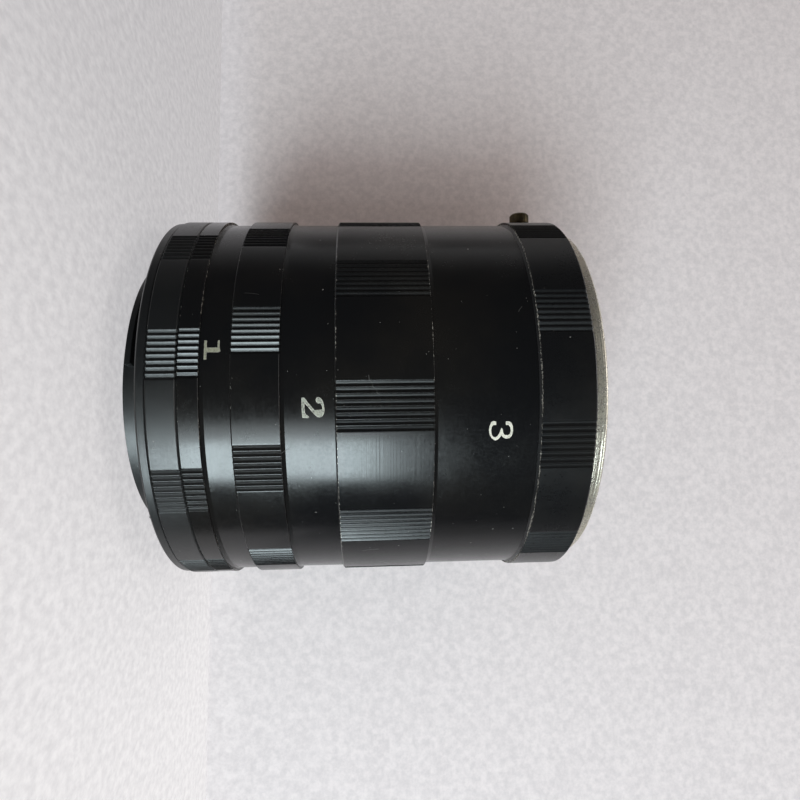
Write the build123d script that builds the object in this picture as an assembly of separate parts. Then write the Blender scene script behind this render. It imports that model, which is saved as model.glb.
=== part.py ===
from build123d import *
from math import degrees, radians
import os

# A set of macro extension tubes, screwed together as it is sold. Millimetres.
# Z is the optical axis. Z = 0 is the end of the camera bayonet, on which the set
# stands, and the lens side is up. Angles are degrees about Z from +X.

# Bayonet interface, the same at the camera end and at the lens end
throat_radius = 22.0
pilot_clearance = 0.1
lug_count = 3
lug_reach = 1.7
lug_arc = 54.0
lug_thickness = 0.9
lug_to_seat = 3.15
lug_entry_clearance = 0.2
lug_entry_spare_arc = 4.0
lug_chamber_clearance = 0.6
lock_angle_before_lug = 30.0

# Walls and steps from the lug chamber outwards, the same in every ring
collar_wall = 2.9
collar_clearance = 0.3
spigot_wall = 1.6
shoulder_width = 1.1
band_rise = 0.55

# Camera end
pilot_tip_lead = 0.7
pilot_wall = 1.8
camera_lug_angle = 239.0
seat_plate_rise = 0.3
seat_plate_thickness = 1.45
seat_plate_chamfer = 0.25
lock_slot_length = 1.0
lock_slot_clearance = 0.15
camera_band_height = 4.1
camera_grooves_angle = 267.3

# Extension tubes, named by the figure on each
tube_1_length = 7.0
tube_1_band_height = 3.45
tube_1_grooves_angle = 267.0
tube_2_length = 14.0
tube_2_band_height = 7.15
tube_2_grooves_angle = 261.0
tube_3_length = 28.0
tube_3_band_height = 14.05
tube_3_grooves_angle = 281.0

# Screwed joints between the rings
thread_length = 2.6
thread_clearance = 0.15
thread_end_clearance = 0.2

# Lens end
lens_band_height = 8.05
lens_band_bevel_run = 0.35
lens_grooves_angle = 256.0
flange_setback = 1.3
flange_thickness = 2.25
flange_chamfer = 0.3

# Grip bands: groups of fine axial grooves with plain land between them
groove_groups = 10
grooves_in_group = 8
groove_pitch_angle = 1.65
groove_depth = 0.26
groove_width = 0.8
band_bevel_run = 0.55
band_edge_bevel = 0.2

# Countersunk screws that hold the seat plate and the flange
screw_count = 3
screw_edge_distance = 1.9
screw_radius = 0.8
screw_head_radius = 1.4
screw_length = 3.2
screw_hole_clearance = 0.05
screw_hole_spare = 0.3

# Leaf springs that press the lens lugs against the flange
leaf_thickness = 0.25
leaf_bow = 0.35
leaf_arc = 38.0
leaf_throat_inset = 0.35
leaf_chamber_clearance = 0.25
leaf_foot_length = 1.8
leaf_foot_width = 4.0
leaf_pocket_clearance = 0.08

# Stop pin that ends the turn of a mounted lens
stop_pin_radius = 0.6
stop_pin_drop = 1.8
stop_pin_depth = 1.2
stop_pin_clearance = 0.25

# Lens lock: a sprung pin, pulled back by a knob on the outside
lock_angle = 187.0
lock_bore_wall = 0.25
lock_bore_floor = 0.8
lock_slide_clearance = 0.08
lock_body_length = 3.95
lock_shoulder = 0.32
lock_tip_height = 1.1
lock_tip_chamfer = 0.25
lock_travel = 1.3
lock_spring_wire_radius = 0.14
lock_spring_side_clearance = 0.13
lock_spring_turns = 4.0
knob_stem_radius = 0.6
knob_stem_drop = 2.75
knob_stem_clearance = 0.1
knob_slot_spare = 0.15
knob_slot_overrun = 1.0
knob_lift = 0.3
knob_neck_radius = 1.2
knob_neck_height = 0.9
knob_head_radius = 1.75
knob_head_height = 1.7
knob_head_chamfer = 0.3

# Radii that follow from them, from the bayonet outwards
pilot_radius = throat_radius - pilot_clearance
pilot_bore_radius = pilot_radius - pilot_wall
lug_radius = pilot_radius + lug_reach
entry_radius = lug_radius + lug_entry_clearance
lug_chamber_radius = lug_radius + lug_chamber_clearance
collar_radius = lug_chamber_radius + collar_wall
tube_bore_radius = collar_radius + collar_clearance
thread_radius = tube_bore_radius + spigot_wall
socket_radius = thread_radius + thread_clearance
barrel_radius = thread_radius + shoulder_width
band_radius = barrel_radius + band_rise
band_root = band_radius - groove_depth
band_end_radius = band_radius - band_edge_bevel
seat_plate_radius = barrel_radius + seat_plate_rise
flange_radius = barrel_radius - flange_setback
screw_circle_radius = flange_radius - screw_edge_distance
lock_circle_radius = lug_chamber_radius + collar_wall / 2
lock_bore_radius = collar_wall / 2 - lock_bore_wall
lock_body_radius = lock_bore_radius - lock_slide_clearance
lock_tip_radius = lock_body_radius - lock_shoulder
lock_spring_radius = lock_body_radius - lock_spring_wire_radius - lock_spring_side_clearance

# Heights along the axis, from the camera end upwards
seat_height = pilot_tip_lead + lug_thickness + lug_to_seat
plate_top = seat_height + seat_plate_thickness
camera_ring_top = plate_top + camera_band_height
tube_1_top = camera_ring_top + tube_1_length
tube_2_top = tube_1_top + tube_2_length
tube_3_top = tube_2_top + tube_3_length
lens_ring_top = tube_3_top + lens_band_height
flange_top = lens_ring_top + flange_thickness
socket_depth = thread_length + thread_end_clearance
lock_bore_bottom = tube_3_top + lock_bore_floor
lock_body_bottom = lens_ring_top - lock_body_length

# Angles of what repeats round the axis
lug_pitch = 360.0 / lug_count
screw_pitch = 360.0 / screw_count
lens_lug_angle = lock_angle + lock_angle_before_lug
camera_lock_angle = camera_lug_angle - lock_angle_before_lug
upward = (Align.CENTER, Align.CENTER, Align.MIN)

# Rings turned from profiles of radius and height


def turned(*points):
    outline = Plane.XZ * Polyline(*points, close=True)
    return revolve(make_face(outline), Axis.Z)


def rod(radius, bottom, top):
    return Pos(0, 0, bottom) * Cylinder(radius, top - bottom, align=upward)


def sector(inner, outer, arc, bottom, top):
    half = arc / 2
    sides = PolarLine((0, 0), outer, -half) + PolarLine((0, 0), outer, half)
    rim = sides + CenterArc((0, 0), outer, -half, arc)
    wedge = make_face(rim) - Circle(inner)
    return Pos(0, 0, bottom) * extrude(wedge, top - bottom)


def placed(piece, radius, angle):
    return Rot(0, 0, angle) * Pos(radius, 0, 0) * piece


# Grooves of a grip band, cut right through it from end to end


def groove_cutters(bottom, height, middle_angle):
    mouth = band_root + groove_depth * 2
    notch = make_face(Polyline((band_root, 0), (mouth, groove_width), (mouth, -groove_width), close=True))
    cutter = Pos(0, 0, bottom) * extrude(notch, height)
    first = middle_angle - groove_pitch_angle * (grooves_in_group - 1) / 2
    cutters = []
    for group in range(groove_groups):
        for groove in range(grooves_in_group):
            angle = first + 360.0 / groove_groups * group + groove_pitch_angle * groove
            cutters.append(Rot(0, 0, angle) * cutter)
    return cutters


# One extension tube: grip band and threaded socket at the camera end, plain barrel,
# and a threaded spigot that enters the next ring


def extension_tube(bottom, length, band_height, grooves_angle):
    shoulder = bottom + length
    band_top = bottom + band_height
    spigot_top = shoulder + thread_length
    bevel_bottom = band_top - band_bevel_run
    blank = turned(
        (socket_radius, bottom),
        (band_end_radius, bottom),
        (band_radius, bottom + band_edge_bevel),
        (band_radius, bevel_bottom),
        (band_root, bevel_bottom),
        (barrel_radius, band_top),
        (barrel_radius, shoulder),
        (thread_radius, shoulder),
        (thread_radius, spigot_top),
        (tube_bore_radius, spigot_top),
        (tube_bore_radius, bottom + socket_depth),
        (socket_radius, bottom + socket_depth),
    )
    return blank - groove_cutters(bottom, bevel_bottom - bottom, grooves_angle)


# Countersunk screw, head up, its head face at Z = 0


def countersunk_screw():
    cone_depth = screw_head_radius - screw_radius
    return turned(
        (0, 0),
        (screw_head_radius, 0),
        (screw_radius, -cone_depth),
        (screw_radius, -screw_length),
        (0, -screw_length),
    )


def screw_hole():
    cone_depth = screw_head_radius - screw_radius
    edge = screw_head_radius + screw_hole_clearance
    bore = screw_radius + screw_hole_clearance
    deep = screw_length + screw_hole_spare
    return turned((0, 0), (edge, 0), (bore, -cone_depth), (bore, -deep), (0, -deep))


# Camera bayonet: seat plate, pilot and three lugs, milled from one blank

camera_bayonet = turned(
    (pilot_bore_radius, 0),
    (pilot_radius, 0),
    (pilot_radius, seat_height),
    (seat_plate_radius - seat_plate_chamfer, seat_height),
    (seat_plate_radius, seat_height + seat_plate_chamfer),
    (seat_plate_radius, plate_top - band_edge_bevel),
    (seat_plate_radius - band_edge_bevel, plate_top),
    (pilot_bore_radius, plate_top),
)
lug_inner = pilot_radius - pilot_wall / 2
lug = sector(lug_inner, lug_radius, lug_arc, pilot_tip_lead, pilot_tip_lead + lug_thickness)
seat_screw_angles = [camera_lug_angle + lug_pitch / 2 + screw_pitch * i for i in range(screw_count)]
seat_screw_place = Pos(0, 0, seat_height) * Rot(180, 0, 0)
seat_screws = []
for angle in seat_screw_angles:
    seat_screws.append(placed(seat_screw_place * countersunk_screw(), screw_circle_radius, angle))
    camera_bayonet -= placed(seat_screw_place * screw_hole(), screw_circle_radius, angle)
for i in range(lug_count):
    camera_bayonet += Rot(0, 0, camera_lug_angle + lug_pitch * i) * lug
slot_radius = lock_tip_radius + lock_slot_clearance
lock_slot = extrude(SlotCenterToCenter(lock_slot_length, slot_radius * 2), seat_plate_thickness)
camera_bayonet -= placed(Pos(0, 0, seat_height) * lock_slot, lock_circle_radius, camera_lock_angle)

# Camera ring: grip band that carries the bayonet, with the first threaded spigot

camera_mount_ring = turned(
    (lug_chamber_radius, plate_top),
    (band_end_radius, plate_top),
    (band_radius, plate_top + band_edge_bevel),
    (band_radius, camera_ring_top - band_edge_bevel),
    (band_end_radius, camera_ring_top),
    (thread_radius, camera_ring_top),
    (thread_radius, camera_ring_top + thread_length),
    (tube_bore_radius, camera_ring_top + thread_length),
    (tube_bore_radius, camera_ring_top),
    (lug_chamber_radius, camera_ring_top),
)
camera_mount_ring -= groove_cutters(plate_top, camera_band_height, camera_grooves_angle)
for angle in seat_screw_angles:
    camera_mount_ring -= placed(seat_screw_place * screw_hole(), screw_circle_radius, angle)

# The three tubes

tube_1 = extension_tube(camera_ring_top, tube_1_length, tube_1_band_height, tube_1_grooves_angle)
tube_2 = extension_tube(tube_1_top, tube_2_length, tube_2_band_height, tube_2_grooves_angle)
tube_3 = extension_tube(tube_2_top, tube_3_length, tube_3_band_height, tube_3_grooves_angle)

# Lens ring: grip band with a threaded recess below and the lock housed in its collar

lens_bevel_top = tube_3_top + lens_band_bevel_run
lens_mount_ring = turned(
    (lug_chamber_radius, tube_3_top),
    (collar_radius, tube_3_top),
    (collar_radius, tube_3_top + socket_depth),
    (socket_radius, tube_3_top + socket_depth),
    (socket_radius, tube_3_top),
    (barrel_radius, tube_3_top),
    (band_root, lens_bevel_top),
    (band_radius, lens_bevel_top),
    (band_radius, lens_ring_top - band_edge_bevel),
    (band_end_radius, lens_ring_top),
    (lug_chamber_radius, lens_ring_top),
)
lens_grip = lens_ring_top - lens_bevel_top
lens_mount_ring -= groove_cutters(lens_bevel_top, lens_grip, lens_grooves_angle)

# Bayonet flange of the lens end, with three entries for the lens lugs

lens_flange = turned(
    (throat_radius, lens_ring_top),
    (flange_radius, lens_ring_top),
    (flange_radius, flange_top - flange_chamfer),
    (flange_radius - flange_chamfer, flange_top),
    (throat_radius, flange_top),
)
entry_arc = lug_arc + lug_entry_spare_arc
entry = sector(throat_radius - lug_reach, entry_radius, entry_arc, lens_ring_top, flange_top)
flange_screw_angles = [lens_lug_angle + lug_pitch / 2 + screw_pitch * i for i in range(screw_count)]
flange_screws = []
for i in range(lug_count):
    lens_flange -= Rot(0, 0, lens_lug_angle + lug_pitch * (i + 0.5)) * entry
for angle in flange_screw_angles:
    flange_screws.append(placed(Pos(0, 0, flange_top) * countersunk_screw(), screw_circle_radius, angle))
    hole = placed(Pos(0, 0, flange_top) * screw_hole(), screw_circle_radius, angle)
    lens_flange -= hole
    lens_mount_ring -= hole

# Leaf springs, each bowed under one tab of the flange, with a foot clamped by it

leaf_inner_radius = throat_radius + leaf_throat_inset
leaf_outer_radius = lug_chamber_radius - leaf_chamber_clearance
leaf_foot_radius = lug_chamber_radius + leaf_foot_length
leaf_half_run = leaf_outer_radius * radians(leaf_arc / 2)
leaf_top = lens_ring_top
leaf_drop = leaf_top - leaf_bow
bow_edges = ThreePointArc((-leaf_half_run, leaf_drop), (0, leaf_top), (leaf_half_run, leaf_drop))
bow_edges += Line((leaf_half_run, leaf_drop), (leaf_half_run, leaf_drop - leaf_thickness))
bow_edges += ThreePointArc(
    (leaf_half_run, leaf_drop - leaf_thickness),
    (0, leaf_top - leaf_thickness),
    (-leaf_half_run, leaf_drop - leaf_thickness),
)
bow_edges += Line((-leaf_half_run, leaf_drop - leaf_thickness), (-leaf_half_run, leaf_drop))
bow = extrude(Plane.YZ * make_face(bow_edges), leaf_foot_radius)
leaf_band = sector(leaf_inner_radius, leaf_outer_radius, leaf_arc, leaf_drop - leaf_thickness, leaf_top)
foot_inner = (leaf_inner_radius + leaf_outer_radius) / 2
foot_length = leaf_foot_radius - foot_inner
leaf_foot = Pos(foot_inner, 0, leaf_top) * Box(
    foot_length, leaf_foot_width, leaf_thickness, align=(Align.MIN, Align.CENTER, Align.MAX)
)
leaf_spring = (bow & leaf_band) + leaf_foot
pocket_run = foot_length + leaf_pocket_clearance
pocket_width = leaf_foot_width + 2 * leaf_pocket_clearance
leaf_pocket = Pos(foot_inner, 0, leaf_top) * Box(
    pocket_run, pocket_width, leaf_thickness, align=(Align.MIN, Align.CENTER, Align.MAX)
)
leaf_springs = []
for i in range(lug_count):
    turn = Rot(0, 0, lens_lug_angle + lug_pitch * i)
    leaf_springs.append(turn * leaf_spring)
    lens_mount_ring -= turn * leaf_pocket

# Stop pin, pressed into the underside of one tab just past the end of a seated lug

stop_pin_circle = (throat_radius + lug_radius) / 2
stop_pin_spacing = degrees((stop_pin_radius + stop_pin_clearance) / stop_pin_circle)
stop_pin_angle = lens_lug_angle + lug_arc / 2 + stop_pin_spacing
stop_pin_top = lens_ring_top + stop_pin_depth
stop_pin = rod(stop_pin_radius, lens_ring_top - stop_pin_drop, stop_pin_top)
stop_pin = placed(stop_pin, stop_pin_circle, stop_pin_angle)
lens_flange -= stop_pin

# Lens lock: the pin slides in a bore of the collar, on a coil spring

stem_height = lens_ring_top - knob_stem_drop
lock_bore = rod(lock_bore_radius, lock_bore_bottom, lens_ring_top)
lens_mount_ring -= placed(lock_bore, lock_circle_radius, lock_angle)
lock_tip_hole = rod(lock_tip_radius + lock_slide_clearance, lens_ring_top, flange_top)
lens_flange -= placed(lock_tip_hole, lock_circle_radius, lock_angle)
tip_top = flange_top + lock_tip_height
lock_pin = turned(
    (0, lock_body_bottom),
    (lock_body_radius, lock_body_bottom),
    (lock_body_radius, lens_ring_top),
    (lock_tip_radius, lens_ring_top),
    (lock_tip_radius, tip_top - lock_tip_chamfer),
    (lock_tip_radius - lock_tip_chamfer, tip_top),
    (0, tip_top),
)
stem_hole = Pos(0, 0, stem_height) * Rot(0, 90, 0) * rod(knob_stem_radius, 0, lock_body_radius * 2)
lock_pin = placed(lock_pin - stem_hole, lock_circle_radius, lock_angle)

wire_bottom = lock_bore_bottom + lock_spring_wire_radius
coil_height = lock_body_bottom - lock_bore_bottom - 2 * lock_spring_wire_radius
coil = Helix(coil_height / lock_spring_turns, coil_height, lock_spring_radius)
wire_section = Plane(origin=coil @ 0, z_dir=coil % 0) * RegularPolygon(lock_spring_wire_radius, 4)
lock_spring = Pos(0, 0, wire_bottom) * sweep(wire_section, coil, is_frenet=True)
lock_spring = placed(lock_spring, lock_circle_radius, lock_angle)

# Release knob: its stem runs in a slot of the lens ring and screws into the pin

stem_end = lock_circle_radius
head_bottom = band_radius + knob_lift
neck_top = head_bottom + knob_neck_height
head_top = neck_top + knob_head_height
knob = turned(
    (0, stem_end),
    (knob_stem_radius, stem_end),
    (knob_stem_radius, head_bottom),
    (knob_neck_radius, head_bottom),
    (knob_neck_radius, neck_top),
    (knob_head_radius, neck_top),
    (knob_head_radius, head_top - knob_head_chamfer),
    (knob_head_radius - knob_head_chamfer, head_top),
    (0, head_top),
)
knob_axis = Rot(0, 0, lock_angle) * Pos(0, 0, stem_height) * Rot(0, 90, 0)
release_knob = knob_axis * knob
slot_width = 2 * (knob_stem_radius + knob_stem_clearance)
slot_low = stem_height - lock_travel - knob_stem_radius - knob_slot_spare
slot_high = stem_height + knob_stem_radius + knob_slot_spare
slot_reach = band_radius + knob_slot_overrun - lock_circle_radius
outward = (Align.MIN, Align.CENTER, Align.MIN)
stem_slot = Box(slot_reach, slot_width, slot_high - slot_low, align=outward)
stem_slot = Pos(lock_circle_radius, 0, slot_low) * stem_slot
lens_mount_ring -= Rot(0, 0, lock_angle) * stem_slot

nodes = {
    "camera_bayonet": camera_bayonet,
    "camera_bayonet_screws": Compound(children=seat_screws),
    "camera_mount_ring": camera_mount_ring,
    "tube_1": tube_1,
    "tube_2": tube_2,
    "tube_3": tube_3,
    "lens_mount_ring": lens_mount_ring,
    "lens_flange": lens_flange,
    "lens_flange_screws": Compound(children=flange_screws),
    "lens_stop_pin": stop_pin,
    "lock_pin": lock_pin,
    "lock_spring": lock_spring,
    "release_knob": release_knob,
}
for number, spring in enumerate(leaf_springs, start=1):
    nodes[f"leaf_spring_{number}"] = spring

os.makedirs("parts", exist_ok=True)
for name, shape in nodes.items():
    export_step(shape, f"parts/{name}.step")
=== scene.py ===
import bpy
import math
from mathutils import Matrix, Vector


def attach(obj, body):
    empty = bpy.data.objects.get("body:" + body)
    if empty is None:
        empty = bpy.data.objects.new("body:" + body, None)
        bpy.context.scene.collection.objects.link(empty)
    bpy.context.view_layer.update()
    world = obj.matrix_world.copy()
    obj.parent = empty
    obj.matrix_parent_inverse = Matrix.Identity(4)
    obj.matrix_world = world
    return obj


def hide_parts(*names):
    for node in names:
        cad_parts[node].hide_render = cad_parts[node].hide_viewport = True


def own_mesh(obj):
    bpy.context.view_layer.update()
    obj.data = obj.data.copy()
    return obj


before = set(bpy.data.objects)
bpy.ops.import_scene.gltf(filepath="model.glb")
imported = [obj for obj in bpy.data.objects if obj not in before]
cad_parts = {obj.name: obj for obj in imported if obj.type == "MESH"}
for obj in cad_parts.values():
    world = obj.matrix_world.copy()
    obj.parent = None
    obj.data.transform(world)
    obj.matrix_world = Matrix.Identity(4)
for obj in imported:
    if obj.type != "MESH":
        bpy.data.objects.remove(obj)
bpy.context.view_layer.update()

# Camera bayonet. One aluminium turning: a seat plate that lies against the camera, and a thin
# pilot with three lugs that turn under the camera's own tabs. Blasted and anodised dull black,
# held to the ring above it by three countersunk screws.

mm = 0.001
weld = 0.002 * mm
near_axis = 0.001  # so close that the weld makes one point of a whole ring of them
bayonet_black, bayonet_warm_black = (0.006, 0.0066, 0.0072, 1), (0.013, 0.0125, 0.012, 1)
bare_aluminium = (0.50, 0.47, 0.42, 1)
house_dust = (0.32, 0.31, 0.29, 1)
pilot_tip, seat, plate_top = 0.0, 4.75, 6.2
pilot_bore, pilot_wall_outside, plate_edge = 20.1, 21.9, 30.4
plate_chamfer, plate_break = 0.25, 0.2
lug_reach_radius, lug_root_depth, lug_low, lug_high, lug_arc = 23.6, 0.9, 0.7, 1.6, 54
camera_lugs, camera_screws, camera_slot = (239, 359, 119), (299, 59, 179), 209
screw_circle, screw_hole, screw_mouth, cone_start, cone_end = 26.9, 0.86, 1.46, 0.02, 0.62
lock_circle, pin_slot_radius, pin_slot_stretch = 25.65, 0.95, 1.5


def at(radius, height, azimuth=0):
    """A point in millimetres, given the way a lathe sees it."""
    turn = math.radians(azimuth)
    return (radius * math.cos(turn), radius * math.sin(turn), height)


def metres(point):
    return [c * mm for c in point]


def pick(*pieces):
    """Selects these pieces and nothing else, the first of them active."""
    bpy.ops.object.select_all(action="DESELECT")
    for piece in pieces:
        piece.select_set(True)
    bpy.context.view_layer.objects.active = pieces[0]


def settle(piece):
    """Puts a piece's place, turn and scale into its mesh."""
    pick(piece)
    bpy.ops.object.transform_apply(location=True, rotation=True, scale=True)
    return piece


def draw_outline(name, points, closed=True):
    """Extrudes a vertex from point to point, and leaves the edges selected in edit mode.

    The vertex to start from is a small plane collapsed to its middle."""
    bpy.ops.object.select_all(action="DESELECT")
    bpy.ops.mesh.primitive_plane_add(size=mm, location=metres(points[0]))
    piece = bpy.context.active_object
    piece.name = piece.data.name = name
    settle(piece)
    bpy.ops.object.mode_set(mode="EDIT")
    bpy.ops.mesh.select_mode(type="VERT")
    bpy.ops.mesh.select_all(action="SELECT")
    bpy.ops.mesh.merge(type="CENTER")
    path = points + points[:1] if closed else points
    for here, there in zip(path, path[1:]):
        step = [(b - a) * mm for a, b in zip(here, there)]
        bpy.ops.mesh.extrude_region_move(TRANSFORM_OT_translate={"value": step})
    bpy.ops.mesh.select_all(action="SELECT")
    bpy.ops.mesh.remove_doubles(threshold=weld)
    return piece


def clean_shell():
    bpy.ops.mesh.select_all(action="SELECT")
    bpy.ops.mesh.remove_doubles(threshold=weld)
    bpy.ops.mesh.normals_make_consistent(inside=False)
    bpy.ops.object.mode_set(mode="OBJECT")


def lathe(name, profile, soften=0.06, closed=True, steps=360, azimuth=0, arc=360):
    """Draws a profile of (radius, height), softens its corners and spins it about the axis."""
    piece = draw_outline(name, [at(r, z, azimuth) for r, z in profile], closed)
    if soften:
        bpy.ops.mesh.bevel(offset=soften * mm, segments=2, affect="VERTICES")
        bpy.ops.mesh.select_all(action="SELECT")
    if arc < 360:
        bpy.ops.mesh.edge_face_add()
    bpy.ops.mesh.spin(steps=steps, angle=-math.radians(arc), center=(0, 0, 0), axis=(0, 0, 1))
    clean_shell()
    return piece


def drill(name, profile, circle, stretch=1):
    """A round cutter of the given (radius, height) points, set on a circle at azimuth 0."""
    foot, head = (near_axis, profile[0][1]), (near_axis, profile[-1][1])
    cutter = lathe(name, [foot, *profile, head], soften=0, closed=False, steps=32)
    cutter.location.x = circle * mm
    cutter.scale.y = stretch
    return settle(cutter)


def join(main, *others):
    pick(main, *others)
    bpy.ops.object.join()
    return main


def copy_round(piece, azimuths):
    """Copies of a piece turned about the axis, each with its own mesh, joined into one."""
    copies = []
    for azimuth in azimuths:
        pick(piece)
        bpy.ops.object.duplicate(linked=False)
        twin = bpy.context.active_object
        twin.rotation_euler.z = math.radians(azimuth)
        copies.append(settle(twin))
    name = piece.name
    bpy.data.objects.remove(piece)
    joined = join(*copies)
    joined.name = joined.data.name = name
    return joined


def cut(piece, cutter):
    """Machines the cutter's shape out of the piece."""
    pick(piece)
    tool = piece.modifiers.new("cut", "BOOLEAN")
    tool.operation = "DIFFERENCE"
    tool.solver = "EXACT"
    tool.object = cutter
    bpy.ops.object.modifier_apply(modifier=tool.name)
    bpy.data.objects.remove(cutter)


def dress(piece, material, body, replaced=(), sharp=12):
    """Shades a finished piece, gives it its material and hangs it on its body."""
    pick(piece)
    bpy.ops.object.shade_smooth_by_angle(angle=math.radians(sharp))
    piece.data.materials.append(material)
    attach(piece, body)
    if replaced:
        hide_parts(*replaced)


def new_group(name, inputs, outputs):
    """A node group. An input with no value is a vector, and the rest are plain values."""
    group = bpy.data.node_groups.new(name, "ShaderNodeTree")
    for label, value in inputs.items():
        kind = "NodeSocketVector" if value is None else "NodeSocketFloat"
        socket = group.interface.new_socket(label, in_out="INPUT", socket_type=kind)
        if value is not None:
            socket.default_value = value
    for label in outputs:
        group.interface.new_socket(label, in_out="OUTPUT", socket_type="NodeSocketFloat")
    entry = group.nodes.new("NodeGroupInput").outputs
    return group, entry, group.nodes.new("NodeGroupOutput").inputs


def feed(tree, socket, value):
    """Links a socket to another, or sets it to a value."""
    if isinstance(value, bpy.types.NodeSocket):
        tree.links.new(value, socket)
    elif value is not None:
        socket.default_value = value


def maths(tree, operation, *values):
    node = tree.nodes.new("ShaderNodeMath")
    node.operation = operation
    for socket, value in zip(node.inputs, values):
        feed(tree, socket, value)
    return node.outputs[0]


def noise(tree, vector, scale, detail=2.0, roughness=0.5):
    node = tree.nodes.new("ShaderNodeTexNoise")
    feed(tree, node.inputs["Vector"], vector)
    feed(tree, node.inputs["Scale"], scale)
    node.inputs["Detail"].default_value = detail
    node.inputs["Roughness"].default_value = roughness
    return node.outputs["Fac"]


def ramp(tree, value, low, high, bottom=0.0, top=1.0):
    """Leads a value smoothly from the bottom to the top while it goes from low to high."""
    node = tree.nodes.new("ShaderNodeMapRange")
    node.interpolation_type = "SMOOTHSTEP"
    feed(tree, node.inputs["Value"], value)
    feed(tree, node.inputs["From Min"], low)
    feed(tree, node.inputs["From Max"], high)
    feed(tree, node.inputs["To Min"], bottom)
    feed(tree, node.inputs["To Max"], top)
    return node.outputs["Result"]


def blend_colour(tree, mask, below, above):
    node = tree.nodes.new("ShaderNodeMix")
    node.data_type = "RGBA"
    feed(tree, node.inputs["Factor"], mask)
    feed(tree, node.inputs["A"], below)
    feed(tree, node.inputs["B"], above)
    return node.outputs["Result"]


def axis_parts(tree, vector):
    """Radius from the axis and height along it, as two values."""
    split = tree.nodes.new("ShaderNodeSeparateXYZ")
    feed(tree, split.inputs[0], vector)
    x_square = maths(tree, "POWER", split.outputs[0], 2.0)
    y_square = maths(tree, "POWER", split.outputs[1], 2.0)
    return maths(tree, "SQRT", maths(tree, "ADD", x_square, y_square)), split.outputs[2]


# Marks of the lathe: fine lines round the axis, strong in some places and faint in others.
# A slope of 0.618 lets the same lines run on over flat faces.
turned_marks, got, put = new_group(
    "turned_marks", {"Vector": None, "Lines per metre": 2600.0}, ["Height"])
tree = turned_marks
radius, height = axis_parts(tree, got["Vector"])
across = maths(tree, "ADD", height, maths(tree, "MULTIPLY", radius, 0.618))
lines = tree.nodes.new("ShaderNodeTexNoise")
lines.noise_dimensions = "1D"
lines.inputs["Scale"].default_value = 1.0
lines.inputs["Detail"].default_value = 3.0
feed(tree, lines.inputs["W"], maths(tree, "MULTIPLY", across, got["Lines per metre"]))
patch = ramp(tree, noise(tree, got["Vector"], 70.0, 3.0), 0.35, 0.68, 0.25, 1.0)
level = maths(tree, "SUBTRACT", lines.outputs["Fac"], 0.5)
feed(tree, put["Height"], maths(tree, "MULTIPLY", level, patch))

# Dust: small pale grains scattered at random, each a little ragged
dust_grains, got, put = new_group(
    "dust_grains",
    {"Vector": None, "Grains per metre": 900.0, "Share": 0.4, "Size": 0.09}, ["Mask"])
tree = dust_grains
cells = tree.nodes.new("ShaderNodeTexVoronoi")
feed(tree, cells.inputs["Vector"], got["Vector"])
feed(tree, cells.inputs["Scale"], got["Grains per metre"])
chance = tree.nodes.new("ShaderNodeSeparateColor")
feed(tree, chance.inputs[0], cells.outputs["Color"])
wobble = maths(tree, "SUBTRACT", noise(tree, got["Vector"], 9000.0), 0.5)
ragged = maths(tree, "ADD", cells.outputs["Distance"], maths(tree, "MULTIPLY", wobble, 0.09))
spread = ramp(tree, chance.outputs["Green"], 0.0, 1.0, 0.35, 1.3)
inside = maths(tree, "LESS_THAN", ragged, maths(tree, "MULTIPLY", got["Size"], spread))
chosen = maths(tree, "LESS_THAN", chance.outputs["Red"], got["Share"])
feed(tree, put["Mask"], maths(tree, "MULTIPLY", inside, chosen))

# Worn edges: the black rubbed off in spots along two turned edges at given heights
worn_edges, got, put = new_group(
    "worn_edges",
    {"Vector": None, "Low edge": 0.0, "High edge": 0.0, "Width": 0.14 * mm, "Wear": 0.5}, ["Mask"])
tree = worn_edges
radius, height = axis_parts(tree, got["Vector"])
to_low = maths(tree, "ABSOLUTE", maths(tree, "SUBTRACT", height, got["Low edge"]))
to_high = maths(tree, "ABSOLUTE", maths(tree, "SUBTRACT", height, got["High edge"]))
nearest = maths(tree, "DIVIDE", maths(tree, "MINIMUM", to_low, to_high), got["Width"])
closeness = maths(tree, "SUBTRACT", 1.0, nearest)
stretches = maths(tree, "MULTIPLY", noise(tree, got["Vector"], 160.0, 2.0), 0.55)
broken = maths(tree, "ADD", noise(tree, got["Vector"], 2600.0, 2.0, 0.6), stretches)
spots = maths(tree, "MULTIPLY", maths(tree, "SUBTRACT", broken, 1.27), 2.4)
reach = maths(tree, "ADD", maths(tree, "ADD", closeness, spots), got["Wear"])
feed(tree, put["Mask"], ramp(tree, reach, 0.45, 0.75))

# Hairline scratches: thin curved lines, each only a few millimetres long
hairlines, got, put = new_group(
    "hairlines", {"Vector": None, "Scale": 55.0, "Share": 0.7}, ["Mask"])
tree = hairlines
contour = maths(tree, "SUBTRACT", noise(tree, got["Vector"], got["Scale"], 1.0), 0.5)
thin = ramp(tree, maths(tree, "ABSOLUTE", contour), 0.0006, 0.0022, 1.0, 0.0)
stretch = maths(tree, "GREATER_THAN", noise(tree, got["Vector"], 160.0, 1.0), got["Share"])
feed(tree, put["Mask"], maths(tree, "MULTIPLY", thin, stretch))


def place_group(tree, group, vector, **values):
    """Puts a group into a material. An underscore in a value's name stands for a space."""
    node = tree.nodes.new("ShaderNodeGroup")
    node.node_tree = group
    feed(tree, node.inputs["Vector"], vector)
    for label, value in values.items():
        node.inputs[label.replace("_", " ")].default_value = value
    return node.outputs


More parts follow.
